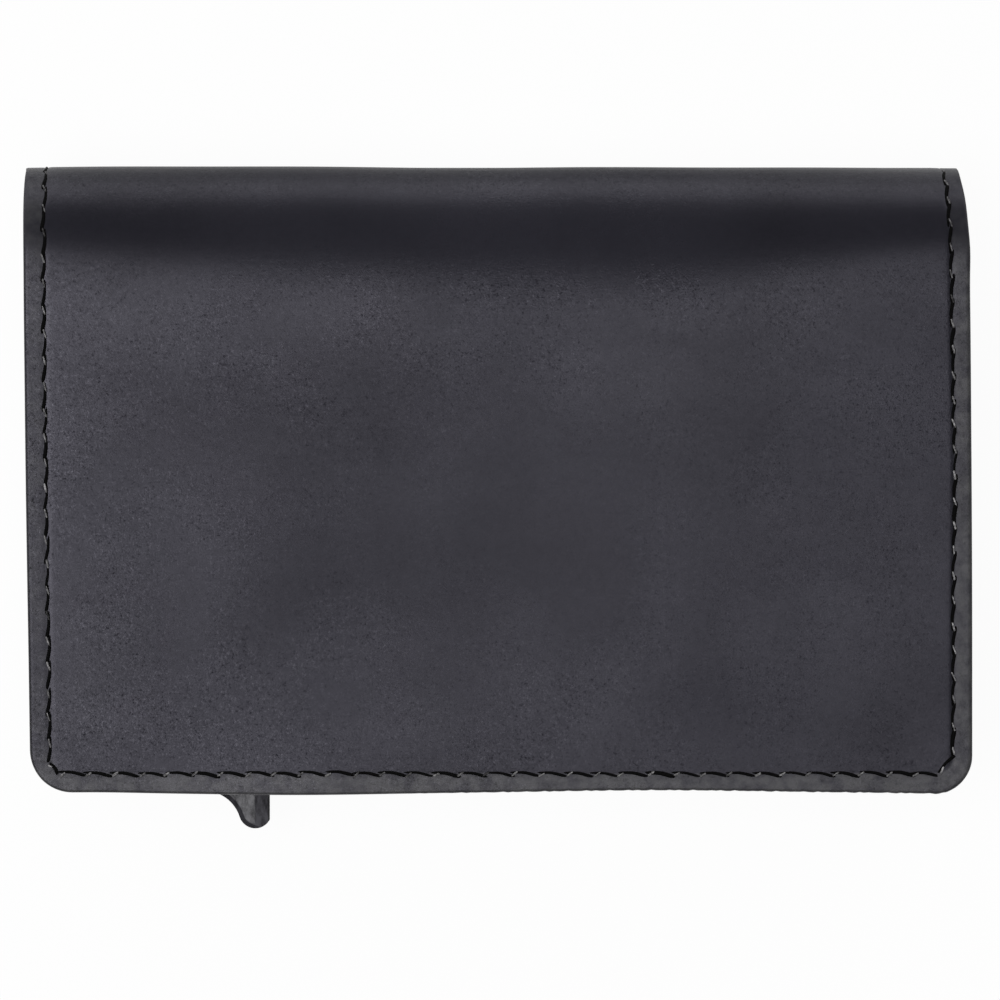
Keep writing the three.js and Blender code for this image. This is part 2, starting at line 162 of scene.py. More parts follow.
def mark(piece, name, values):
    layer = piece.data.attributes.new(name, "FLOAT", "POINT")
    layer.data.foreach_set("value", np.asarray(values, np.float32))


print("points of the front cover's solid:", len(points_of(frame["nodes"]["front_cover"])))


# %% Soft steps and humps
def ease(low, high, value):
    share = np.clip((value - low) / (high - low), 0, 1)
    return share * share * (3 - 2 * share)


def hump(value, place, width):
    return np.exp(-((value - place) / width) ** 2)


def humps(value, shapes):
    return sum(height * hump(value, place, width) for height, place, width in shapes)


print("half way up a soft step:", ease(0, 1, 0.5))

# %% [markdown]
# The rolled fold
#
# Thick leather doesn't crease, it rolls. The front half runs flat from the open edge and then turns
# over the spine in a long, soft quarter of an oval; the back half turns up in a tighter one, and the
# two meet at the middle line of the spine. A cloth simulation could fold such a sheet, but stiff
# leather follows this curve so closely that it is laid along it: one function takes a place on the
# flat leather to its place on the wallet, and cover, lining, pockets and stitches all go through it,
# so that they stay in layers. On the flat leather, x runs along the spine and e from the open edge.

# %% How far the roll reaches from the spine
FRONT, BACK = 1, -1
ROLL_REACH = {FRONT: 16.1, BACK: 8.0}
REACH_LOSS = 5.4
LEFT_LOSS_START = 12
LEFT_LOSS_WIDTH = 62
RIGHT_LOSS_SPAN = (19, 51)
REACH_WAVES = ((0.2, 7.5, 0.6), (0.12, 3.9, 0))
REACH_HUMPS = ((0.9, 17, 12), (-0.9, -11, 5), (0.8, -25, 8), (0.4, -46, 5))


def quarter_oval(reach):
    return (reach + middle) * math.pi / 4


def roll_reach(x, side):
    reach = np.full_like(x, ROLL_REACH[side])
    if side == BACK:
        return reach
    reach = reach - REACH_LOSS * np.clip((LEFT_LOSS_START - x) / LEFT_LOSS_WIDTH, 0, 1) ** 2
    reach = reach - REACH_LOSS * ease(*RIGHT_LOSS_SPAN, x)
    for height, length, turn in REACH_WAVES:
        reach = reach + height * np.sin(x / length + turn)
    return reach + humps(x, REACH_HUMPS)


sheet_length = {side: closed_height - reach + quarter_oval(reach) for side, reach in ROLL_REACH.items()}
print("leather from open edge to spine, mm:", sheet_length)

# %% How far round the oval a run along it comes
NEWTON_STEPS = 5


def roll_angle(run, reach):
    # The run along an oval is close to mean * angle - swing * sin(2 * angle), and is solved for angle.
    mean = (reach + middle) / 2
    swing = (reach - middle) / 4
    angle = run / mean
    for _ in range(NEWTON_STEPS):
        error = mean * angle - swing * np.sin(2 * angle) - run
        angle = angle - error / (mean - 2 * swing * np.cos(2 * angle))
    return angle


reach = ROLL_REACH[FRONT]
print("half the front's roll turns, degrees:", math.degrees(roll_angle(quarter_oval(reach) / 2, reach)))

# %% [markdown]
# Leather that has been carried is nowhere quite flat or straight: low waves run through it, its ends
# wander on their way to the fold, and the open edge, trimmed by hand, has frayed a little. A sculpting
# brush could draw this, but sums of waves and humps move every layer alike, so that none shows through.

# %% Low waves in the leather
RIPPLES = ((0.06, 8.1, 13.0, 0), (0.05, -17.0, 6.3, 1.1), (0.03, 4.3, -5.2, 0.4))
RIPPLE_TOP = 0.14
BACK_RIPPLE = 0.3


def ripple(x, e, side):
    waves = sum(
        height * np.sin(x / along_x + e / along_e + turn) for height, along_x, along_e, turn in RIPPLES)
    return waves if side == FRONT else BACK_RIPPLE * (waves - RIPPLE_TOP)


print("wave at the middle of the open edge, mm:", round(ripple(0, 0, FRONT), 3))

# %% Ends that wander
SEAM_INSET = 2.05
BACK_SHIFT = 0.86
BACK_SHIFT_POWER = 4
WIDENING = 0.0024
OPEN_NARROWING = 0.005
OPEN_SHIFT = 0.27
SPINE_SHIFT = 0.55
SPINE_TUCK = 0.3
RIGHT_TUCK = 0.4
TUCK_POWER = 8
RIGHT_SWAY = ((0.12, 0.815, 0.035), (-0.15, 0.94, 0.035))
LEFT_SWAY = ((0.06, 0.82, 0.07),)
LEFT_CUT = 0.09
LEFT_CUT_SPAN = (0.6, 0.15)


def drift(x, share, side):
    if side == BACK:
        return -BACK_SHIFT * share ** BACK_SHIFT_POWER
    narrowing = WIDENING * x - OPEN_NARROWING * x * (1 - share) ** 2
    right_margin = ease(half_length - SEAM_INSET, half_length, x)
    left_part = ease(0, -half_length, x)
    cut_in = LEFT_CUT * ease(*LEFT_CUT_SPAN, share) + humps(share, LEFT_SWAY)
    sway = humps(share, RIGHT_SWAY) * right_margin + cut_in * left_part
    tuck = (SPINE_TUCK + RIGHT_TUCK * right_margin) * share ** TUCK_POWER
    return narrowing + OPEN_SHIFT - SPINE_SHIFT * share - tuck + sway


print("right end's drift at the spine, mm:", round(drift(half_length, 1, FRONT), 3))

# %% The trimmed and frayed open edge
TRIM_HUMPS = ((0.32, 17, 17), (-0.2, -22, 12), (0.1, -44, 6), (-0.08, 48, 5))
TRIM_REACH = 1.2
FRAY_WAVES = ((0.025, 1.13, 0.3), (0.025, 1.49, 1.7), (0.02, 2.3, 0.9))
FRAY_REACH = 0.3
FRAY_SPAN = (-15, 5)


def trimming(x, e, side):
    if side == BACK:
        return 0
    fray = sum(height * np.sin(2 * math.pi * x / length + turn) for height, length, turn in FRAY_WAVES)
    fray = fray * ease(*FRAY_SPAN, x) * hump(e, 0, FRAY_REACH)
    return humps(x, TRIM_HUMPS) * hump(e, 0, TRIM_REACH) + fray


print("trimmed at the middle of the open edge, mm:", round(trimming(0, 0, FRONT), 3))


# %% From the flat leather to the wallet
def on_wallet(x, e, depth, side):
    reach = roll_reach(x, side)
    flat_run = closed_height - reach
    turn_run = quarter_oval(reach)
    share = e / sheet_length[side]
    along = share * (flat_run + turn_run)
    angle = roll_angle(turn_run - np.maximum(along - flat_run, 0), reach)
    lean_y = np.cos(angle) / reach
    lean_z = np.sin(angle) / middle
    lean = np.hypot(lean_y, lean_z)
    lift = ripple(x, e, side) - depth
    y = spine_edge - reach + reach * np.cos(angle) - np.maximum(flat_run - along, 0)
    y = y + lift * lean_y / lean + trimming(x, e, side)
    z = middle * np.sin(angle) + lift * lean_z / lean
    return np.stack((x + drift(x, share, side), y, middle + side * z), axis=-1) * MM


spine_middle = on_wallet(np.zeros(1), np.full(1, sheet_length[FRONT]), 0, FRONT)[0] / MM
print("middle of the spine, mm:", spine_middle.round(2))

# %% [markdown]
# A sheet of leather
#
# Each layer starts as a flat grid, gets its thickness from Solidify, and is then laid on the wallet
# point by point. The grid's lines stand close together along the edges, where the leather is rounded,
# sewn and worn. The two corners could be cut with a Boolean; bending the grid's own lines round them
# keeps the edge a clean band of faces.

# %% Lines of the grid
LEFT_CORNER = 4.6
RIGHT_CORNER = 4.0
EDGE_LINES = np.array([
    0, 0.06, 0.18, 0.34, 0.6, 0.9, 1.2, 1.45, 1.65, 1.82, 1.95, 2.05, 2.15, 2.28, 2.45, 2.65, 2.95,
    3.4, RIGHT_CORNER, LEFT_CORNER, 5.3, 6.2,
])


def lines_between(low, high, step):
    count = max(1, round((high - low) / step))
    return np.linspace(low, high, count + 1)


def lines_across(step):
    rim = half_length - EDGE_LINES
    inner = lines_between(-rim[-1], rim[-1], step)
    return np.concatenate((-rim, inner[1:-1], rim[::-1]))


print("lines along one edge:", len(EDGE_LINES), "and across, 1 mm apart:", len(lines_across(1)))


# %% Rounded corners and edges
def rounded_corners(x, e):
    # The square at a corner is pressed into a quarter of a disc, which keeps its lines apart.
    corner = np.where(x < 0, LEFT_CORNER, RIGHT_CORNER)
    inset_x = (corner - half_length + np.abs(x)) / corner
    inset_e = (corner - e) / corner
    at_corner = (inset_x > 0) & (inset_e > 0)
    square_x = np.where(at_corner, inset_x, 0)
    square_e = np.where(at_corner, inset_e, 0)
    round_x = square_x * np.sqrt(1 - square_e * square_e / 2)
    round_e = square_e * np.sqrt(1 - square_x * square_x / 2)
    x = x + np.sign(x) * (round_x - square_x) * corner
    e = e - (round_e - square_e) * corner
    edge = np.minimum(half_length - np.abs(x), e)
    return x, e, np.where(at_corner, corner * (1 - np.hypot(round_x, round_e)), edge)


def round_over(edge, radius):
    inside = radius - np.clip(edge, 0, radius)
    return radius - np.sqrt(radius * radius - inside * inside)


print("left corner moves to, mm:", *rounded_corners(-half_length, 0)[:2])

# %% A flat sheet with a thickness
GRID_SIZE = 2
GRID_THICKNESS = 1


def flat_sheet(name, across, along):
    bpy.ops.object.select_all(action="DESELECT")
    bpy.ops.mesh.primitive_grid_add(
        x_subdivisions=len(across) - 1, y_subdivisions=len(along) - 1, size=GRID_SIZE)
    piece = bpy.context.object
    piece.name = name
    piece.data.name = name
    apply_modifier(piece, "SOLIDIFY", thickness=GRID_THICKNESS, offset=-1)
    points = points_of(piece)
    column = np.rint((points[:, 0] / GRID_SIZE + 0.5) * (len(across) - 1)).astype(int)
    row = np.rint((points[:, 1] / GRID_SIZE + 0.5) * (len(along) - 1)).astype(int)
    return piece, across[column], along[row], points[:, 2] < -GRID_THICKNESS / 2


# %% [markdown]
# Edge, seam line and wear
#
# The cover is the leather that the photograph shows. Its edge is rounded over, less so where it runs
# into the fold. The seam sinks into it where the thread pulls, and the row wanders: along the left
# edge it lies a little further in, and it bows out towards the right edge.

# %% Rounded edge and sunken seam
EDGE_ROUND = 0.34
SPINE_END_ROUND = 0.12
SPINE_END_SPAN = (56, 66)
LEFT_SEAM_SHIFT = 0.12
RIGHT_SEAM_BOW = ((0.2, 36, 12),)
SEAM_SHIFT_START = 4
SEAM_SINK = 0.06
SEAM_SINK_WIDTH = 0.3
MARGIN_SINK = 0.04
MARGIN_SINK_SPAN = (0.6, -0.6)


def edge_radius(e):
    return EDGE_ROUND + (SPINE_END_ROUND - EDGE_ROUND) * ease(*SPINE_END_SPAN, e)


def seam_inset(x, e):
    shift = np.where(x < 0, LEFT_SEAM_SHIFT, -humps(e, RIGHT_SEAM_BOW))
    return SEAM_INSET + shift * ease(SEAM_INSET, SEAM_INSET + SEAM_SHIFT_START, e)


def seam_sink(from_seam):
    line = SEAM_SINK * hump(from_seam, 0, SEAM_SINK_WIDTH)
    return line + MARGIN_SINK * ease(*MARGIN_SINK_SPAN, from_seam)


print("seam's inset along the left edge, mm:", seam_inset(-half_length, sheet_length[FRONT]))

# %% [markdown]
# Hands have worn the leather. The margin outside the seam is rubbed, most of all along the open edge
# and at the right; the fold is polished except at its middle, the grain is stretched smooth over the
# roll, and some fields of the front shine more than others. This could be painted on by hand. Here it
# is worked out from the place on the leather and stored as a value per point, for the finish to read.

# %% Rubbed margins
LEFT_RUB = 0.36
RIGHT_RUB = 0.8
LEFT_FOLD_RUB = 0.33
RIGHT_FOLD_RUB = 0.18
FOLD_RUB_SPAN = (55, 60)
CORNER_FADE = 2
RIM_SPAN = (0.22, 0.05)


def mark_rubbing(piece, x, e, edge, at_margin):
    side_rub = np.where(x < 0, LEFT_RUB, RIGHT_RUB)
    fold_rub = np.where(x < 0, LEFT_FOLD_RUB, RIGHT_FOLD_RUB)
    side_rub = side_rub + (fold_rub - side_rub) * ease(*FOLD_RUB_SPAN, e)
    mark(piece, "rubbed", 1 + (side_rub - 1) * ease(SEAM_INSET, SEAM_INSET + CORNER_FADE, e))
    mark(piece, "rim", ease(*RIM_SPAN, edge))
    mark(piece, "margin", at_margin)


# %% Polished and smooth fields
# Each field has its place x and e, its width and height, and a handled one also the sheen it adds
SMOOTH_FIELD = (2, 28, 28, 18)
HANDLED_FIELDS = (
    (18, 45, 10, 8, 0.36),
    (31, 52, 5, 5, 0.28),
    (-15, 51, 8, 5, 0.18),
    (-20, 22, 8, 12, -0.20),
    (26, 9, 11, 7, -0.26),
    (35, 37, 5, 6, -0.16),
    (-9, 8, 7, 4, 0.17),
)
FOLD_SHEEN = ((0.25, 52, 4.5),)
FOLD_SHEEN_GAP = ((0.7, 4, 12),)
SMOOTH_SHEEN_LOSS = 0.1
LEFT_SHEEN = 0.15
LEFT_SHEEN_WIDTH = 11
MARGIN_SHEEN_LOSS = 0.1
SPINE_SHADE = 0.9
SPINE_SHADE_SPAN = (5, 0.5)


def in_field(x, e, place_x, place_e, width, height):
    return hump(x, place_x, width) * hump(e, place_e, height)


def mark_sheen(piece, x, e, side, at_margin):
    left = hump(x, -half_length, LEFT_SHEEN_WIDTH)
    sheen = 1 + humps(e, FOLD_SHEEN) * (1 - humps(x, FOLD_SHEEN_GAP))
    sheen = sheen - SMOOTH_SHEEN_LOSS * in_field(x, e, *SMOOTH_FIELD)
    sheen = sheen + sum(shine * in_field(x, e, *field) for *field, shine in HANDLED_FIELDS)
    sheen = sheen + LEFT_SHEEN * left * (1 - at_margin) - MARGIN_SHEEN_LOSS * at_margin * (1 + left)
    at_spine = ease(*SPINE_SHADE_SPAN, sheet_length[side] - e)
    mark(piece, "sheen", sheen * (1 - SPINE_SHADE * at_spine))


print("handled fields:", len(HANDLED_FIELDS))

# %% Coarse and calm grain
SMOOTH_CALM = 0.8
STRETCH_CALM = 0.85
STRETCH_SPAN = (54, 60)
SLACK = 0.5
SLACK_SPAN = (61, 66)
RIGHT_CALM = 0.25
RIGHT_CALM_SPAN = (5, 40)
MARGIN_COARSE = 0.3


def mark_grain(piece, x, e, at_margin):
    stretched = ease(*STRETCH_SPAN, e) - SLACK * ease(*SLACK_SPAN, e)
    coarse = (1 - SMOOTH_CALM * in_field(x, e, *SMOOTH_FIELD)) * (1 - STRETCH_CALM * stretched)
    coarse = coarse * (1 - RIGHT_CALM * ease(*RIGHT_CALM_SPAN, x))
    mark(piece, "coarse", coarse * (1 + MARGIN_COARSE * at_margin))


# %% [markdown]
# Cover and lining
#
# The lining is the same sheet as the cover again, thinner and further in. Each is two pieces that meet
# at the spine, because the wallet has two folds and each piece bends round one. Both could be one
# thick sheet, but the gap between two layers is what the eye looks for at a sewn edge.

# %% Lay a sheet on the wallet
LEATHER_SMOOTH = 50
MARGIN_SPAN = (0.3, -0.2)
END_STEP = 0.1


def lay_sheet(name, side, steps, outer_depth, inner_depth, length=None):
    length = length or sheet_length[side]
    inner = lines_between(EDGE_LINES[-1], length, steps[1])[1:-1]
    along = np.concatenate((EDGE_LINES, inner, [length - END_STEP, length]))
    piece, x, e, under = flat_sheet(name, lines_across(steps[0]), along)
    x, e, edge = rounded_corners(x, e)
    from_seam = edge - seam_inset(x, e)
    depth = np.where(under, inner_depth(edge, from_seam), outer_depth(edge, from_seam, e))
    move_points(piece, on_wallet(x, e, depth, side))
    face_outwards(piece)
    smooth(piece, LEATHER_SMOOTH)
    at_margin = ease(*MARGIN_SPAN, from_seam)
    mark_rubbing(piece, x, e, edge, at_margin)
    mark_sheen(piece, x, e, side, at_margin)
    mark_grain(piece, x, e, at_margin)
    return piece


# %% Make the leather of the front and the back
COVER_DEPTH = 1.3
COVER_STEPS = {FRONT: (0.5, 1.0), BACK: (1.0, 1.0)}
LINING_TOP = 1.32
LINING_DEPTH = 2.2
LINING_STEPS = (1.6, 1.6)
LINING_ROUND = 0.25
LINING_SINK = 0.1

cover = {}
lining = {}
for side, place in ((FRONT, "front"), (BACK, "back")):
    cover[side] = lay_sheet(
        f"leather_{place}", side, COVER_STEPS[side],
        lambda edge, from_seam, e: round_over(edge, edge_radius(e)) + seam_sink(from_seam),
        lambda edge, from_seam: COVER_DEPTH)
    lining[side] = lay_sheet(
        f"lining_{place}", side, LINING_STEPS,
        lambda edge, from_seam, e: LINING_TOP,
        lambda edge, from_seam: (
            LINING_DEPTH - round_over(edge, LINING_ROUND) - LINING_SINK * seam_sink(from_seam)))
    print(place, "cover and lining faces:", len(cover[side].data.polygons), len(lining[side].data.polygons))


# %% [markdown]
# Two pockets for single cards lie inside the front, one over the other, and their edges are caught in
# the same seam. Each has a round notch for the thumb, which is cut by a disc as a punch would cut it.
# The lining has two round holes, in which the closing magnets sit. A Boolean makes these cuts, since
# bending the grid's lines round them would take many more lines.

# %% A round cut
CUTTER_SIDES = 64


def cut_disc(piece, x, y, radius, low, high):
    bpy.ops.object.select_all(action="DESELECT")
    bpy.ops.mesh.primitive_cylinder_add(
        vertices=CUTTER_SIDES, radius=radius * MM, depth=(high - low) * MM,
        location=(x * MM, y * MM, (low + high) / 2 * MM))
    cutter = bpy.context.object
    apply_modifier(piece, "BOOLEAN", operation="DIFFERENCE", object=cutter, solver="EXACT")
    bpy.data.objects.remove(cutter)


# %% Make the pockets and cut the notches and magnet holes
POCKET_STEPS = (2.4, 2.4)
POCKET_ROUND = 0.2
POCKET_SMOOTH = 40
NOTCH_RADIUS = 8
NOTCH_BELOW = 1
NOTCH_ABOVE = 0.3
MAGNET_ROOM = 5.15
MAGNET_BELOW = 0.6
MAGNET_ABOVE = 0.25


def make_pocket(node):
    low, high = box_of(node)
    top = closed_thickness - high.z
    bottom = closed_thickness - low.z
    piece = lay_sheet(
        f"{node}_leather", FRONT, POCKET_STEPS,
        lambda edge, from_seam, e: top,
        lambda edge, from_seam: bottom - round_over(edge, POCKET_ROUND),
        high.y - open_edge)
    cut_disc(piece, 0, high.y, NOTCH_RADIUS, low.z - NOTCH_BELOW, high.z + NOTCH_ABOVE)
    smooth(piece, POCKET_SMOOTH)
    return piece


pockets = {node: make_pocket(node) for node in ("card_pocket_tall", "card_pocket_short")}
for node in ("flap_magnet_left", "flap_magnet_right"):
    low, high = box_of(node)
    centre = (low + high) / 2
    cut_disc(lining[FRONT], centre.x, centre.y, MAGNET_ROOM, low.z - MAGNET_BELOW, high.z + MAGNET_ABOVE)
smooth(lining[FRONT], LEATHER_SMOOTH)
print("pockets:", list(pockets))

# %% [markdown]
# The seam
#
# One row of stitches runs down the left edge, along the open edge and up the right edge, on both
# halves and on both faces of the leather. A stitch shows as two parts: a black body that lies in the
# seam and hooks over towards its end, and a short thin ply that crosses to the next stitch and is
# coloured lighter as a painted glint. A swept curve would give an even cord, but no stitch is quite
# like its neighbour. So each part is drawn out of a small sphere and repeated between the needle
# holes, with seeded differences.

# %% Needle holes along one half
SIDE_PITCH = 2.72
OPEN_EDGE_PITCH = 2.88
LEFT_CORNER_STEP = 1.05
RIGHT_CORNER_STEP = 1.55
RIGHT_CORNER_RISE = 2.0


def needle_holes(side):
    seam_x = half_length - SEAM_INSET
    left_rows = lines_between(SEAM_INSET + LEFT_CORNER_STEP, sheet_length[side], SIDE_PITCH)
    right_rows = lines_between(SEAM_INSET + RIGHT_CORNER_RISE, sheet_length[side], SIDE_PITCH)
    columns = lines_between(LEFT_CORNER_STEP - seam_x, seam_x - RIGHT_CORNER_STEP, OPEN_EDGE_PITCH)
    left = [(seam_inset(-seam_x, e) - half_length, e) for e in left_rows[::-1]]
    edge = [(x, SEAM_INSET) for x in columns]
    right = [(half_length - seam_inset(seam_x, e), e) for e in right_rows]
    return np.array(left + edge + right)


print("needle holes, front and back:", len(needle_holes(FRONT)), len(needle_holes(BACK)))

# %% The two parts of a stitch
# The ply's colour is lightened as a painted glint (1.0 below), the body's is not (0.0).
STITCH_PARTS = {
    # The black body runs a little past both needle holes, so its black is partly the thread and partly
    # painted shade in the holes beside the ply.
    "body": {
        "sides": 8, "rings": 11, "run": (-0.12, 1.18), "slant": (0.14, -0.16), "hook": 0.42,
        "radius": 0.205, "taper": (0.7, 1.18), "crown": -0.09, "dive": 0.06, "painted_glint": 0.0,
        "edge_run": (-0.12, 1.14), "edge_radius": 0.2,
    },
    "ply": {
        "sides": 6, "rings": 6, "run": (-0.06, 0.39), "slant": (-0.13, 0.15), "hook": 0.0,
        "radius": 0.1, "taper": (1.0, 1.0), "crown": 0.1, "dive": 0.15, "painted_glint": 1.0,
        "edge_run": (-0.03, 0.26), "edge_radius": 0.13,
    },
}


def stitch_pattern(part):
    bpy.ops.object.select_all(action="DESELECT")
    bpy.ops.mesh.primitive_uv_sphere_add(
        segments=part["sides"], ring_count=part["rings"], radius=1)
    ball = bpy.context.object
    points = points_of(ball)
    faces = [list(face.vertices) for face in ball.data.polygons]
    bpy.data.objects.remove(ball)
    share = np.arccos(np.clip(points[:, 2], -1, 1)) / math.pi
    return share, np.arctan2(points[:, 1], points[:, 0]), faces


print("faces of a stitch:", [len(stitch_pattern(part)[2]) for part in STITCH_PARTS.values()])

# %% Run, slant and thickness of the stitches
UNIT = (0, 1)
STRAIGHT_SPAN = (0.8, 1)
RUN_WOBBLE = 0.04
SLANT_WOBBLE = 0.06
RADIUS_WOBBLE = 0.1
OPEN_EDGE_SLANT = 1.35
END_FULLNESS = 2.4
SEED = 11
seeded = np.random.default_rng(SEED)


def stitch_run(part, share, heading, along_edge):
    turn = np.sum(heading * np.roll(heading, -1, axis=0), axis=1, keepdims=True)
    straight = ease(*STRAIGHT_SPAN, turn)
    edge_run = np.interp(share, UNIT, part["edge_run"])
    run = np.where(along_edge, edge_run, np.interp(share, UNIT, part["run"]))
    run = np.where(run > 1, 1 + (run - 1) * straight, run)
    run = np.where(run < 0, run * np.roll(straight, 1, axis=0), run)
    return run + seeded.normal(0, RUN_WOBBLE, (len(heading), 1))


def stitch_slant(part, share, along_edge):
    slant = np.interp(ease(part["hook"], 1, share), UNIT, part["slant"])
    slant = slant * np.where(along_edge, OPEN_EDGE_SLANT, 1)
    return slant + seeded.normal(0, SLANT_WOBBLE, (len(along_edge), 2)) @ [1 - share, share]


def stitch_section(part, share, along_edge):
    section = np.where(along_edge, part["edge_radius"], part["radius"])
    section = section * np.minimum(1, END_FULLNESS * np.sqrt(share * (1 - share)))
    section = section * np.interp(share, UNIT, part["taper"])
    return section * (1 + seeded.normal(0, RADIUS_WOBBLE, (len(along_edge), 1)))


# %% A row of stitches on the flat leather
DIVE_POWER = 3
SHINE = 0.75
SHINE_WOBBLE = 0.25
LEAST_SHINE = 0.15
OPEN_EDGE_GLINT = 0.7
FOLD_GLINT = 0.5
FOLD_GLINT_SPAN = (54, 60)
GLINT_END = 0.15


# The painted glint on the ply: a lighter colour, varied from stitch to stitch, weaker along the open edge
# and on the fold, and fading at the ply's ends.
def painted_stitch_glint(part, share, e, along_edge):
    shine = np.clip(seeded.normal(SHINE, SHINE_WOBBLE, (len(e), 1)), LEAST_SHINE, 1)
    shine = shine * np.where(along_edge, OPEN_EDGE_GLINT, 1)
    shine = shine * (1 + (FOLD_GLINT - 1) * ease(*FOLD_GLINT_SPAN, e))
    return part["painted_glint"] * shine * ease(0, GLINT_END, share) * ease(1, 1 - GLINT_END, share)


def stitch_row(part, start, travel):
    share, around, faces = stitch_pattern(part)
    heading = travel / np.linalg.norm(travel, axis=1, keepdims=True)
    left_hand = np.stack((-heading[:, 1], heading[:, 0]), axis=1)
    along_edge = np.abs(travel[:, :1]) > np.abs(travel[:, 1:])
    run = stitch_run(part, share, heading, along_edge)
    slant = stitch_slant(part, share, along_edge)
    section = stitch_section(part, share, along_edge)
    sideways = slant + section * np.cos(around)
    x = start[:, :1] + travel[:, :1] * run + left_hand[:, :1] * sideways
    e = start[:, 1:] + travel[:, 1:] * run + left_hand[:, 1:] * sideways
    dive = part["dive"] * np.abs(2 * share - 1) ** DIVE_POWER
    rise = part["crown"] - dive + section * np.sin(around)
    return x, e, rise, painted_stitch_glint(part, share, e, along_edge), faces


# %% Lay the rows on the wallet
THREAD_SMOOTH = 70
BACK_CROWN_LOSS = 0.16
SPINE_CROWN_LOSS = 0.16
SPINE_CROWN_SPAN = (5, 2)
INSIDE_CROWN_LOSS = 0.1


def outside_depth(rise, e, side):
    near_spine = ease(*SPINE_CROWN_SPAN, sheet_length[side] - e)
    return -rise + SPINE_CROWN_LOSS * near_spine + (BACK_CROWN_LOSS if side == BACK else 0)


def thread_seam(name, side, inner_depth):
    holes = needle_holes(side)
    points = []
    lights = []
    every_face = []
    first = 0
    for part in STITCH_PARTS.values():
        for outside in (True, False):
            x, e, rise, painted_glint, faces = stitch_row(part, holes[:-1], holes[1:] - holes[:-1])
            depth = outside_depth(rise, e, side) if outside else inner_depth(e) + rise - INSIDE_CROWN_LOSS
            points.append(on_wallet(x, e, depth, side).reshape(-1, 3))
            lights.append(painted_glint.ravel())
            for _ in range(len(x)):
                every_face += [[corner + first for corner in face] for face in faces]
                first += x.shape[1]
    mesh = bpy.data.meshes.new(name)
    mesh.from_pydata(np.concatenate(points).tolist(), [], every_face)
    piece = put_in_scene(name, mesh)
    face_outwards(piece)
    smooth(piece, THREAD_SMOOTH)
    # Marks the share of painted glint at each point, which the thread's finish turns into a lighter colour.
    mark(piece, "painted_glint", np.concatenate(lights))
    return piece


def front_inside(e):
    depth = np.full_like(e, LINING_DEPTH)
    for node in pockets:
        low, high = box_of(node)
        depth = np.where(e < high.y - open_edge, closed_thickness - low.z, depth)
    return depth


seam = {
    FRONT: thread_seam("stitching_front", FRONT, front_inside),
    BACK: thread_seam("stitching_back", BACK, lambda e: LINING_DEPTH),
}
print("stitching faces:", [len(piece.data.polygons) for piece in seam.values()])

# %% [markdown]
# The card case and its slider
#
# The case is a thin tube of anodised metal with moulded ends, and the slider runs in a rail inside it.
# Their solids are right as they are, but every edge of a real case is broken a little, and that thin
# line of light tells the eye that it is metal or plastic. So each solid is copied, its flat faces are
# made whole, and a narrow bevel is put along its edges. The thumb wears the middle of the fin's front
# lighter; a dark rim round it is painted shade in the colour, and two narrow rings inset into that
# front give the rim points to end at.

# %% Two rings in the front of the fin
FIN_RIM = (0.14, 0.08)
FIN_MERGE = 0.03
FRONT_SLACK = 0.01
FRONT_FACING = 0.99
fin_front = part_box("trigger")[1].z - FRONT_SLACK * MM


def ring_front(piece):
    for face in piece.data.polygons:
        face.select = face.normal.z > FRONT_FACING and face.center.z > fin_front
    bpy.ops.object.mode_set(mode="EDIT")
    for width in FIN_RIM:
        bpy.ops.mesh.inset(thickness=width * MM)
        bpy.ops.mesh.remove_doubles(threshold=FIN_MERGE * MM)
    bpy.ops.object.mode_set(mode="OBJECT")
    mark(piece, "inside_rings", [float(point.select) for point in piece.data.vertices])


print("the fin's front lies at, mm:", round(fin_front / MM, 2))

# %% Copies of the solids with their edges broken
MERGE = 0.001
FLAT_ANGLE = math.radians(1)
BEVEL_ANGLE = math.radians(40)
BEVEL_SEGMENTS = 2
CASE_SMOOTH = 35
# Each piece has the width of its broken edge in millimetres and the slot of its finish
RIGID_PIECES = {
    "case_shell": (0.12, "case"),
    "rear_cap": (0.15, "case_plastic"),
    "mouth_frame": (0.12, "case_plastic"),
    "guide_rail": (0.1, "case_plastic"),
    "pressure_spring": (0.05, "steel"),
    "keeper_plate_left": (0.08, "steel"),
    "keeper_plate_right": (0.08, "steel"),
    "ejector": (0.1, "slider_plastic"),
    "trigger": (0.1, "trigger"),
    "trigger_pin": (0.08, "steel"),
    "flap_magnet_left": (0.1, "magnet"),
    "flap_magnet_right": (0.1, "magnet"),
    "bonding_pad": (0.06, "bonding_pad"),
}


def broken_edges(node, width):
    mesh = frame["nodes"][node].data.copy()
    mesh.name = f"{node}_finished"
    piece = put_in_scene(mesh.name, mesh)
    select_only(piece)
    bpy.ops.object.mode_set(mode="EDIT")
    bpy.ops.mesh.select_all(action="SELECT")
    bpy.ops.mesh.remove_doubles(threshold=(FIN_MERGE if node == "trigger" else MERGE) * MM)
    bpy.ops.mesh.dissolve_limited(angle_limit=FLAT_ANGLE)
    bpy.ops.mesh.select_all(action="DESELECT")
    bpy.ops.object.mode_set(mode="OBJECT")
    if node == "trigger":
        ring_front(piece)
    apply_modifier(
        piece, "BEVEL", width=width * MM, segments=BEVEL_SEGMENTS, limit_method="ANGLE",
        angle_limit=BEVEL_ANGLE, use_clamp_overlap=True)
    smooth(piece, CASE_SMOOTH)
    apply_modifier(piece, "WEIGHTED_NORMAL", keep_sharp=True)
    return piece


rigid = {node: broken_edges(node, width) for node, (width, _) in RIGID_PIECES.items()}
print("rigid pieces:", len(rigid), "faces:", sum(len(piece.data.polygons) for piece in rigid.values()))

# %% The rim of the fin, marked for painted shade
RIM_STOP = 0.2
STEEP_FACING = (0.6, 0.3)
BEVEL_FACING = (1, 0.93)
RIGHT_FACING = 0.05
DOWN_FACING = -0.2

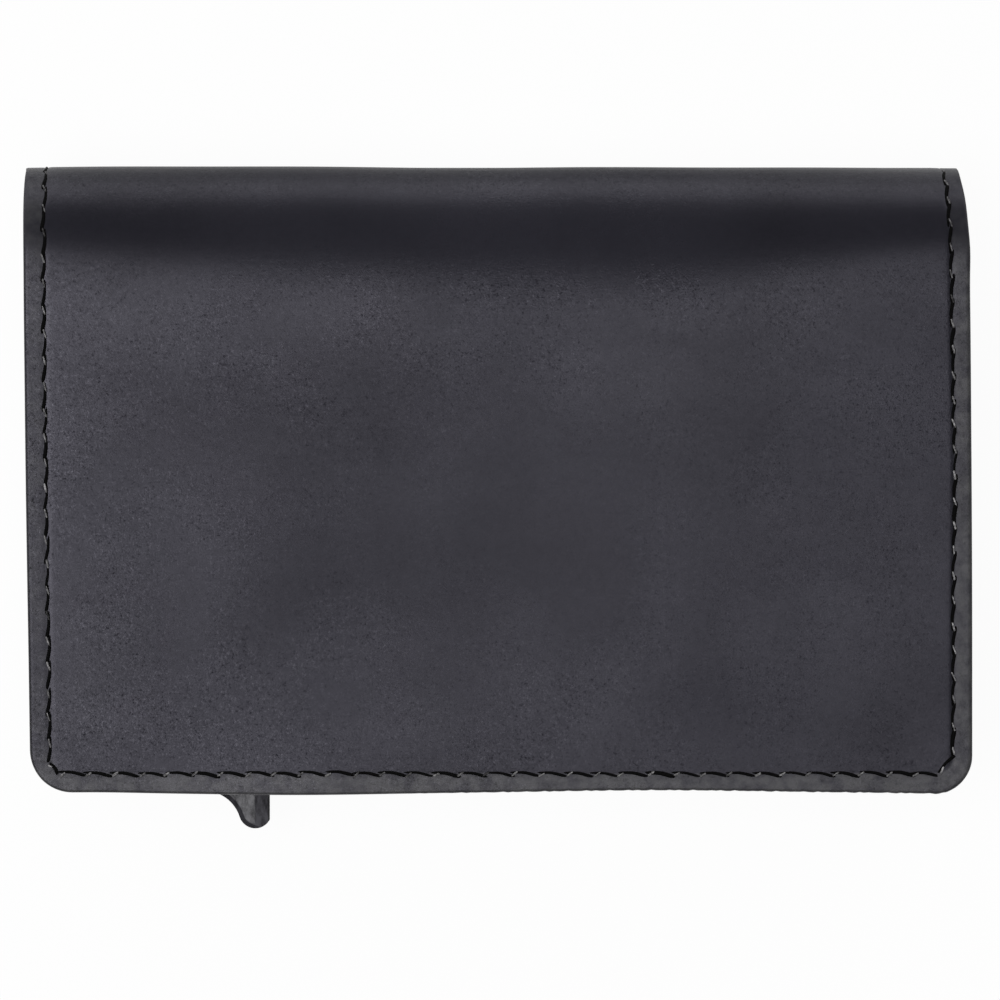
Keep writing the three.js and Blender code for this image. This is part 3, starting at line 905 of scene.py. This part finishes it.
fin = rigid["trigger"]
fin_points = points_of(fin)
facing = np.array([point.normal for point in fin.data.vertices])
inside_rings = np.zeros(len(fin_points))
fin.data.attributes["inside_rings"].data.foreach_get("value", inside_rings)
on_front = fin_points[:, 2] > fin_front
chamfer_edge = fin_points[on_front, 0].max()
# The ring at the front's edge, the upright sides and the bevels facing left and down are marked; the finish
# darkens them as painted shade and makes the upright sides matt.
ring = on_front * (1 - inside_rings) * (fin_points[:, 0] < chamfer_edge - RIM_STOP * MM)
steep_side = ease(*STEEP_FACING, np.abs(facing[:, 2]))
outer_bevel = (facing[:, 0] < RIGHT_FACING) | (facing[:, 1] < DOWN_FACING)
bevel = ease(*BEVEL_FACING, np.abs(facing[:, 2])) * outer_bevel
mark(fin, "painted_shade_matt_rim", np.maximum.reduce((steep_side, bevel, ring)))
print("points on the fin's front:", on_front.sum(), "and on its rim:", (ring > 0.5).sum())

# %% [markdown]
# Finishes
#
# Every finish is a Principled shader fed by textures in object coordinates, so that the grain has its
# real size in millimetres and stays on the piece. Pictures of leather could be wrapped on instead, but
# they need unwrapping and blur up close. Small helpers add a node, set its sockets and return the
# output that the next node needs.


# %% Add a node and set its sockets
def set_sockets(tree, node, sockets):
    for name, value in sockets.items():
        if isinstance(value, bpy.types.NodeSocket):
            tree.links.new(value, node.inputs[name])
        else:
            node.inputs[name].default_value = value


def add_node(tree, kind, sockets, **settings):
    node = tree.nodes.new(kind)
    for name, value in settings.items():
        setattr(node, name, value)
    set_sockets(tree, node, sockets)
    return node


def start_finish(name, metallic=0.0, specular=0.5):
    material = bpy.data.materials.new(name)
    material.use_nodes = True
    tree = material.node_tree
    shader = tree.nodes["Principled BSDF"]
    set_sockets(tree, shader, {"Metallic": metallic, "Specular IOR Level": specular})
    return material, tree, shader


print("finishes from the frame:", len(bpy.data.materials))


# %% Textures in millimetres
def object_place(tree, stretch=(1, 1, 1), turn=0.0):
    place = add_node(tree, "ShaderNodeTexCoord", {}).outputs["Object"]
    sockets = {"Vector": place, "Scale": stretch, "Rotation": (0, 0, turn)}
    return add_node(tree, "ShaderNodeMapping", sockets).outputs["Vector"]


def noise(tree, place, size, detail=3.0, rough=0.5):
    sockets = {"Vector": place, "Scale": 1 / (size * MM), "Detail": detail, "Roughness": rough}
    return add_node(tree, "ShaderNodeTexNoise", sockets).outputs["Fac"]


def cells(tree, place, size):
    sockets = {"Vector": place, "Scale": 1 / (size * MM)}
    return add_node(tree, "ShaderNodeTexVoronoi", sockets).outputs["Distance"]


def attribute(tree, name):
    return add_node(tree, "ShaderNodeAttribute", {}, attribute_name=name).outputs["Fac"]


def bump(tree, height, strength, depth, **below):
    sockets = {"Height": height, "Strength": strength, "Distance": depth * MM, **below}
    return add_node(tree, "ShaderNodeBump", sockets).outputs["Normal"]


# %% Mixing values and colours
GREY_GREEN = 0.98


def span(tree, value, given, wanted=UNIT):
    names = ("Value", "From Min", "From Max", "To Min", "To Max")
    sockets = dict(zip(names, (value, *given, *wanted)))
    return add_node(tree, "ShaderNodeMapRange", sockets).outputs["Result"]


def mixed(tree, share, first, second):
    # Sockets 6 and 7 of a mix take colours, 2 and 3 take values.
    sockets = {0: share, 6: first, 7: second}
    return add_node(tree, "ShaderNodeMix", sockets, data_type="RGBA").outputs[2]


def calculated(tree, operation, *values):
    return add_node(tree, "ShaderNodeMath", dict(enumerate(values)), operation=operation).outputs[0]


def sum_of(tree, first, second, share):
    return calculated(tree, "MULTIPLY_ADD", second, share, first)


def product(tree, first, second):
    return calculated(tree, "MULTIPLY", first, second)


def grey(value, blue=1.0):
    return (value, value * GREY_GREEN, value * blue, 1)


print("a bluish grey:", grey(0.1, 1.2))

# %% [markdown]
# Leather
#
# The photograph shows a matt, nearly black leather with a bluish cast. It is a waxed hide: cloudy
# lighter and darker fields, a fine grain with small pores, and faint fibres that run along the fold.
# The margin outside the seam is rubbed to a lighter, more neutral grey, and the cut edge is dyed dark.
# Wax gathers in the grain of real leather, so the same specks steer colour, shine and relief here,
# instead of three textures that know nothing of each other.

# %% Specks in the grain
GRAIN_SIZE = 0.4
DUST_SIZE = 0.2
NOISE_RANGE = (0.3, 0.7)
NOISE_MIDDLE = (0.36, 0.64)
FLECK_RANGE = (0.32, 0.68)
LIGHT_SPECKS = (0.56, 0.7)
DARK_SPECKS = (0.44, 0.3)
BOTH_WAYS = (-1, 1)
FLECK_SHARE = 0.2
DUST_SHARE = 0.34


def leather_specks(tree, place, flecks, coarse):
    grain = noise(tree, place, GRAIN_SIZE, rough=0.7)
    dust = noise(tree, place, DUST_SIZE, detail=2, rough=0.6)
    specks = sum_of(tree, span(tree, grain, LIGHT_SPECKS), span(tree, grain, DARK_SPECKS), -1)
    specks = sum_of(tree, specks, span(tree, flecks, FLECK_RANGE, BOTH_WAYS), FLECK_SHARE)
    specks = sum_of(tree, specks, span(tree, dust, NOISE_RANGE, BOTH_WAYS), DUST_SHARE)
    return product(tree, specks, coarse)


# %% Rubbed margin and dyed edge
MOTTLE_SIZE = 2.2
MOTTLE = (0.55, 1.45)
RUBBED_FLECKS = (0.5, 1.1)
DYED_RANGE = (0.35, 0.6)
DYED_FLECKS = (0.35, 1.0)


def rubbed_margin(tree, place, flecks):
    fleck_rub = span(tree, flecks, NOISE_RANGE, RUBBED_FLECKS)
    mottle = span(tree, noise(tree, place, MOTTLE_SIZE, rough=0.6), NOISE_MIDDLE, MOTTLE)
    rubbed = product(tree, product(tree, attribute(tree, "rubbed"), fleck_rub), mottle)
    return product(tree, rubbed, attribute(tree, "margin"))


def dyed_edge(tree, flecks):
    return product(tree, attribute(tree, "rim"), span(tree, flecks, DYED_RANGE, DYED_FLECKS))


# %% Sheen and relief of the leather
WAX_RANGE = (-1.2, 1.2)
LEAST_WAX = 0.1
MOST_WAX = 1.9
SMUDGE_SIZE = 6
SMUDGE_PLACE = {"stretch": (0.4, 1, 1), "turn": 0.35}
SMUDGE_SHARE = 0.7
BURNISH_RANGE = (0.55, 1.15)
BURNISH = (0.84, 1.16)
PORE_SIZE = 0.6
PORE_RANGE = (0, 0.3)
PORE_SHARE = 0.6
FIBRE_SIZE = 0.45
FIBRE_STRETCH = (0.12, 1, 1)
# A bump has a strength, and a depth in millimetres
FIBRE_BUMP = (0.12, 0.05)
GRAIN_BUMP = (0.2, 0.05)


def leather_sheen(tree, specular, specks, clouds):
    wax = span(tree, specks, WAX_RANGE, (LEAST_WAX * specular, MOST_WAX * specular))
    smudges = noise(tree, object_place(tree, **SMUDGE_PLACE), SMUDGE_SIZE)
    burnish = span(tree, sum_of(tree, clouds, smudges, SMUDGE_SHARE), BURNISH_RANGE, BURNISH)
    return product(tree, wax, product(tree, attribute(tree, "sheen"), burnish))


def leather_relief(tree, place, specks, coarse):
    pores = product(tree, span(tree, cells(tree, place, PORE_SIZE), PORE_RANGE), coarse)
    fibres = noise(tree, object_place(tree, FIBRE_STRETCH), FIBRE_SIZE, rough=0.6)
    normal = bump(tree, fibres, *FIBRE_BUMP)
    return bump(tree, sum_of(tree, specks, pores, PORE_SHARE), *GRAIN_BUMP, Normal=normal)


# %% Leather finishes
LEATHER_TINT = (0.88, 0.855, 1.0, 1.0)
RUBBED_GREY = (0.061, 0.0607, 0.0618, 1.0)
EDGE_DYE = grey(0.012)
CLOUD_SIZE = 20
PATCH_SIZE = 9
PATCH_GRAIN = (0.4, 1.0)
FLECK_SIZE = 0.9
TONE_FLECKS = 0.3
TONE_SPECKS = 0.22
TONE_RANGE = (0.45, 0.85)
GLOSS_SPREAD = 0.02


def leather_finish(name, dark, light, margin, gloss, specular):
    material, tree, shader = start_finish(name, specular=specular)
    place = object_place(tree)
    clouds = noise(tree, place, CLOUD_SIZE, detail=2)
    flecks = noise(tree, place, FLECK_SIZE, rough=0.6)
    patches = span(tree, noise(tree, place, PATCH_SIZE, detail=2), NOISE_MIDDLE, PATCH_GRAIN)
    coarse = product(tree, patches, attribute(tree, "coarse"))
    specks = leather_specks(tree, place, flecks, coarse)
    tone = sum_of(tree, sum_of(tree, clouds, flecks, TONE_FLECKS), specks, TONE_SPECKS)
    tone = span(tree, tone, TONE_RANGE)
    colour = mixed(tree, tone, dark, light)
    colour = mixed(tree, rubbed_margin(tree, place, flecks), colour, margin)
    set_sockets(tree, shader, {
        "Base Color": mixed(tree, dyed_edge(tree, flecks), colour, EDGE_DYE),
        "Specular Tint": LEATHER_TINT,
        "Specular IOR Level": leather_sheen(tree, specular, specks, clouds),
        "Roughness": span(tree, tone, UNIT, (gloss + GLOSS_SPREAD, gloss - GLOSS_SPREAD)),
        "Normal": leather_relief(tree, place, specks, coarse),
    })
    return material


cover_leather = leather_finish(
    "waxed_leather", grey(0.011, 1.33), grey(0.0175, 1.3), RUBBED_GREY, gloss=0.29, specular=0.25)
lining_leather = leather_finish(
    "lining_leather", grey(0.009, 1.15), grey(0.017, 1.12), grey(0.018, 1.05), gloss=0.46, specular=0.26)
print("leather finishes:", cover_leather.name, lining_leather.name)

# %% [markdown]
# Thread, metal and plastic
#
# The thread is black and waxed, and its plies are coloured a lighter grey where they come up over the
# leather, as a painted glint. The case is anodised in dark grey. The fin is painted: the thumb has
# rubbed its front lighter, its upright sides are matt, and its rim and sides are darkened in colour as
# painted shade. Slider and case ends are moulded in black, spring, pin and keepers are bare steel with
# marks of the rolling, and the magnets are nickel-plated. One plain colour for each would look like a
# toy, so a noise the size of the real marks moves colour, roughness and relief.

# %% Finish of the thread
THREAD_BLACK = grey(0.002)
THREAD_PAINTED_GLINT = grey(0.36)
HAIR_SIZE = 0.12
HAIR_BUMP = (0.4, 0.04)
THREAD_ROUGHNESS = (0.6, 0.85)
TWIST_SIZE = 0.3
TWIST_RANGE = (0.4, 0.6)
TWIST = (0.35, 1.0)


def thread_finish():
    material, tree, shader = start_finish("black_thread", specular=0.04)
    place = object_place(tree)
    hairs = noise(tree, place, HAIR_SIZE, detail=2)
    twist = span(tree, noise(tree, place, TWIST_SIZE, detail=2), TWIST_RANGE, TWIST)
    # Where the mark says so, the thread's colour turns to the light grey of a painted glint.
    painted_glint = product(tree, attribute(tree, "painted_glint"), twist)
    set_sockets(tree, shader, {
        "Base Color": mixed(tree, painted_glint, THREAD_BLACK, THREAD_PAINTED_GLINT),
        "Roughness": span(tree, hairs, NOISE_RANGE, THREAD_ROUGHNESS),
        "Normal": bump(tree, hairs, *HAIR_BUMP),
    })
    return material


finishes = {"thread": thread_finish()}
print("finishes:", list(finishes))

# %% Finish of the metal pieces
METAL_CLOUD_SIZE = 9
METAL_MARK_SHARE = 0.5
METAL_TONE_RANGE = (0.5, 1.0)
METAL_MARK_RANGE = (0.2, 0.8)
METAL_SMOOTHER = 0.07
METAL_ROUGHER = 0.09
METAL_BUMP = (0.12, 0.02)
ROLLED = (0.05, 1, 1)


def metal_finish(name, dark, light, rough, mark_size, stretch=(1, 1, 1)):
    material, tree, shader = start_finish(name, metallic=1.0)
    marks = noise(tree, object_place(tree, stretch), mark_size, rough=0.6)
    cloud = noise(tree, object_place(tree), METAL_CLOUD_SIZE, detail=2)
    tone = span(tree, sum_of(tree, cloud, marks, METAL_MARK_SHARE), METAL_TONE_RANGE)
    set_sockets(tree, shader, {
        "Base Color": mixed(tree, tone, dark, light),
        "Roughness": span(tree, marks, METAL_MARK_RANGE, (rough - METAL_SMOOTHER, rough + METAL_ROUGHER)),
        "Normal": bump(tree, marks, *METAL_BUMP),
    })
    return material


finishes["case"] = metal_finish(
    "anodised_case", grey(0.068, 1.08), grey(0.082, 1.06), rough=0.4, mark_size=0.16)
finishes["steel"] = metal_finish(
    "spring_steel", grey(0.42), grey(0.56), rough=0.3, mark_size=0.15, stretch=ROLLED)
finishes["magnet"] = metal_finish(
    "magnet_nickel", grey(0.45, 0.94), grey(0.55, 0.93), rough=0.24, mark_size=0.4)
print("finishes:", list(finishes))

# %% Finish of the moulded pieces
MOULD_CLOUD_SIZE = 6
SPARK_SHARE = 0.4
SPARK_BUMP = (0.25, 0.025)
MOULD_SMOOTHER = 0.05
MOULD_ROUGHER = 0.07


def moulded_finish(name, dark, light, rough, spark_size, specular=0.5):
    material, tree, shader = start_finish(name, specular=specular)
    place = object_place(tree)
    sparks = noise(tree, place, spark_size, detail=2, rough=0.55)
    cloud = noise(tree, place, MOULD_CLOUD_SIZE)
    set_sockets(tree, shader, {
        "Base Color": mixed(tree, sum_of(tree, cloud, sparks, SPARK_SHARE), dark, light),
        "Roughness": span(tree, cloud, NOISE_RANGE, (rough - MOULD_SMOOTHER, rough + MOULD_ROUGHER)),
        "Normal": bump(tree, sparks, *SPARK_BUMP),
    })
    return material


finishes["case_plastic"] = moulded_finish(
    "moulded_black", grey(0.010), grey(0.018), rough=0.5, spark_size=0.18)
finishes["slider_plastic"] = moulded_finish(
    "slider_black", grey(0.012), grey(0.020), rough=0.45, spark_size=0.14)
finishes["bonding_pad"] = moulded_finish(
    "bonding_foam", grey(0.03), grey(0.06), rough=0.85, spark_size=0.3, specular=0.2)
print("finishes:", list(finishes))

# %% Finish of the fin
FIN_PAINT = grey(0.034, 1.12)
FIN_RUBBED = grey(0.088, 1.12)
FIN_PAINTED_RIM_SHADE = grey(0.016, 1.1)
FIN_PAINTED_SHADE_SHARE = 0.55
FIN_SPARK_SIZE = 0.14
FIN_RUB_SIZE = 0.6
FIN_RUB_PLACE = {"stretch": (1, 0.4, 1), "turn": 0.6}
WORN_SPARKS = 0.3
WORN_RANGE = (0.52, 0.78)
FIN_SPECULAR = 0.36
FIN_RUB_SHEEN = (0.45, 1.65)
FIN_ROUGHNESS = (0.28, 0.4)


def fin_finish():
    material, tree, shader = start_finish("painted_fin", specular=FIN_SPECULAR)
    place = object_place(tree)
    sparks = noise(tree, place, FIN_SPARK_SIZE, detail=2, rough=0.55)
    cloud = noise(tree, place, MOULD_CLOUD_SIZE)
    rubs = noise(tree, object_place(tree, **FIN_RUB_PLACE), FIN_RUB_SIZE, detail=4, rough=0.65)
    worn = span(tree, sum_of(tree, rubs, sparks, WORN_SPARKS), WORN_RANGE)
    # The marked rim and sides get a darker colour as painted shade, and no specular level.
    painted_shade_matt_rim = attribute(tree, "painted_shade_matt_rim")
    colour = mixed(tree, worn, FIN_PAINT, FIN_RUBBED)
    flat_sheen = span(tree, painted_shade_matt_rim, UNIT, (FIN_SPECULAR, 0))
    set_sockets(tree, shader, {
        "Base Color": mixed(tree, span(tree, painted_shade_matt_rim, UNIT, (0, FIN_PAINTED_SHADE_SHARE)), colour, FIN_PAINTED_RIM_SHADE),
        "Specular IOR Level": product(tree, flat_sheen, span(tree, rubs, NOISE_MIDDLE, FIN_RUB_SHEEN)),
        "Roughness": span(tree, cloud, NOISE_RANGE, FIN_ROUGHNESS),
        "Normal": bump(tree, sparks, *SPARK_BUMP),
    })
    return material


finishes["trigger"] = fin_finish()
print("finishes:", list(finishes))

# %% [markdown]
# Hand the pieces to the frame
#
# Each piece gets its finish, and the solids that it stands for are hidden. The pockets ride on the
# flap, and each rigid piece on the body of its solid; the leather and thread stay where they were laid.


def dress(piece, material, slot, *nodes):
    piece.data.materials.clear()
    piece.data.materials.append(material)
    if nodes:
        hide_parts(*nodes)


def bend(piece, side):
    if side == FRONT:
        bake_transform(piece)
    else:
        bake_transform(piece)


dress(cover[FRONT], cover_leather, "leather", "front_cover")
dress(cover[BACK], cover_leather, "leather", "back_cover", "spine_cover")
dress(lining[FRONT], lining_leather, "lining", "front_lining")
dress(lining[BACK], lining_leather, "lining", "back_lining", "spine_lining")
for side in (FRONT, BACK):
    dress(seam[side], finishes["thread"], None)
    bend(cover[side], side)
    bend(lining[side], side)
    bend(seam[side], side)
for node, piece in pockets.items():
    dress(piece, lining_leather, "lining", node)
    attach(piece, "flap")
print("pieces that bend:", len(cover) + len(lining) + len(seam), "and pockets on the flap:", len(pockets))

# %% Rigid pieces on their bodies
for node, (_, slot) in RIGID_PIECES.items():
    piece = rigid[node]
    dress(piece, finishes[slot], slot, node)
    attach(piece, frame["nodes"][node]["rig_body"])

# %% [markdown]
# The leather pieces are sheets; the size that they were cut to before they were folded is printed: the
# length along the spine, and the run from the open edge to the middle line of the spine.

for node, piece in pockets.items():
    low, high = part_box(node)
print("flat leather, mm:", 2 * half_length, sheet_length)

# %% [markdown]
# Floor, light and camera
#
# The wallet lies on a plain white floor, and the camera looks straight down on it. A broad soft lamp
# hangs above, and a narrower one on its left, so that the left of the wallet is the brighter side. A
# pale wall stands behind the spine, a little higher towards its two sides, and the ceiling round the
# lamps is dark: the rolled fold mirrors this dark part as a dark band, and the wall as the paler band
# beside the spine. A picture of a room could light it too, but lamps and walls are easy to move.

# %% Floor
FLOOR_SIZE = 4.0
FLOOR_GAP = 0.2
FLOOR_GREY = (0.86, 0.86, 0.86, 1)
FLOOR_ROUGHNESS = 0.8
FLOOR_SPECULAR = 0.2
FLOOR_SHOWN_WHITE = 0.95
WHITE = (1, 1, 1, 1)


def seen_directly(tree):
    rays = add_node(tree, "ShaderNodeLightPath", {}).outputs
    seen = rays["Is Camera Ray"]
    for kind in ("Is Glossy Ray", "Is Transmission Ray"):
        seen = calculated(tree, "MAXIMUM", seen, rays[kind])
    return seen


bpy.ops.object.select_all(action="DESELECT")
bpy.ops.mesh.primitive_plane_add(size=FLOOR_SIZE, location=(0, 0, -FLOOR_GAP * MM))
floor = bpy.context.object
floor.name = "floor"
floor_white, floor_tree, floor_shader = start_finish("white_floor", specular=FLOOR_SPECULAR)
set_sockets(floor_tree, floor_shader, {"Base Color": FLOOR_GREY, "Roughness": FLOOR_ROUGHNESS})
glow = add_node(floor_tree, "ShaderNodeEmission", {"Color": WHITE, "Strength": 1.0})
share = span(floor_tree, seen_directly(floor_tree), UNIT, (0, FLOOR_SHOWN_WHITE))
shown = add_node(floor_tree, "ShaderNodeMixShader", {
    0: share, 1: floor_shader.outputs[0], 2: glow.outputs[0]})
set_sockets(floor_tree, floor_tree.nodes["Material Output"], {"Surface": shown.outputs[0]})
floor.data.materials.append(floor_white)
print("floor below the wallet, mm:", FLOOR_GAP)

# %% Lamps
LAMPS = {
    "broad_lamp": {"place": (-0.19, -0.176, 0.86), "width": 0.89, "depth": 0.88, "power": 5.27},
    "left_lamp": {"place": (-0.36, -0.10, 0.80), "width": 0.31, "depth": 0.60, "power": 2.06},
}

for name, plan in LAMPS.items():
    lamp_data = bpy.data.lights.new(name, "AREA")
    lamp_data.shape = "RECTANGLE"
    lamp_data.size = plan["width"]
    lamp_data.size_y = plan["depth"]
    lamp_data.energy = plan["power"]
    put_in_scene(name, lamp_data).location = plan["place"]
    print(name, "power, watts:", plan["power"])

# %% Room
WALL_BEHIND_SPINE = 2.02
OTHER_WALLS = 0.3
WALL_TURN = (0.1, 0.6)
CEILING_LIGHT = 0.04
WALL_TOP = 0.42
WALL_TOP_BLUR = 0.03
WALL_RISE = 0.07
WALL_RISE_SPAN = (0.005, 0.0115)

room = bpy.data.worlds.new("studio_room")
room.use_nodes = True
bpy.context.scene.world = room
tree = room.node_tree
direction = add_node(tree, "ShaderNodeTexCoord", {}).outputs["Generated"]
towards = add_node(tree, "ShaderNodeSeparateXYZ", {"Vector": direction}).outputs
wall = span(tree, towards["Y"], WALL_TURN, (OTHER_WALLS, WALL_BEHIND_SPINE))
sideways = product(tree, towards["X"], towards["X"])
rise = span(tree, sideways, WALL_RISE_SPAN, (0, WALL_RISE))
over_wall = sum_of(tree, towards["Z"], rise, -1)
above = span(tree, over_wall, (WALL_TOP - WALL_TOP_BLUR, WALL_TOP + WALL_TOP_BLUR))
light = add_node(tree, "ShaderNodeMix", {0: above, 2: wall, 3: CEILING_LIGHT}, data_type="FLOAT").outputs[0]
set_sockets(tree, tree.nodes["Background"], {"Color": WHITE, "Strength": light})
print("light of wall and ceiling:", WALL_BEHIND_SPINE, CEILING_LIGHT)

# %% Camera
CAMERA_RISE = 430
FRAME_WIDTH = 107.7
SENSOR = 36
CAMERA_X = 0.16
CAMERA_Y = -2.44

camera_data = bpy.data.cameras.new("camera")
camera_data.sensor_width = SENSOR
camera_data.lens = SENSOR * CAMERA_RISE / FRAME_WIDTH
camera = put_in_scene("camera", camera_data)
camera.location = (CAMERA_X * MM, CAMERA_Y * MM, (closed_thickness + CAMERA_RISE) * MM)
bpy.context.scene.camera = camera
bpy.context.scene.view_settings.view_transform = "Standard"
print("lens, mm:", round(camera_data.lens, 1))
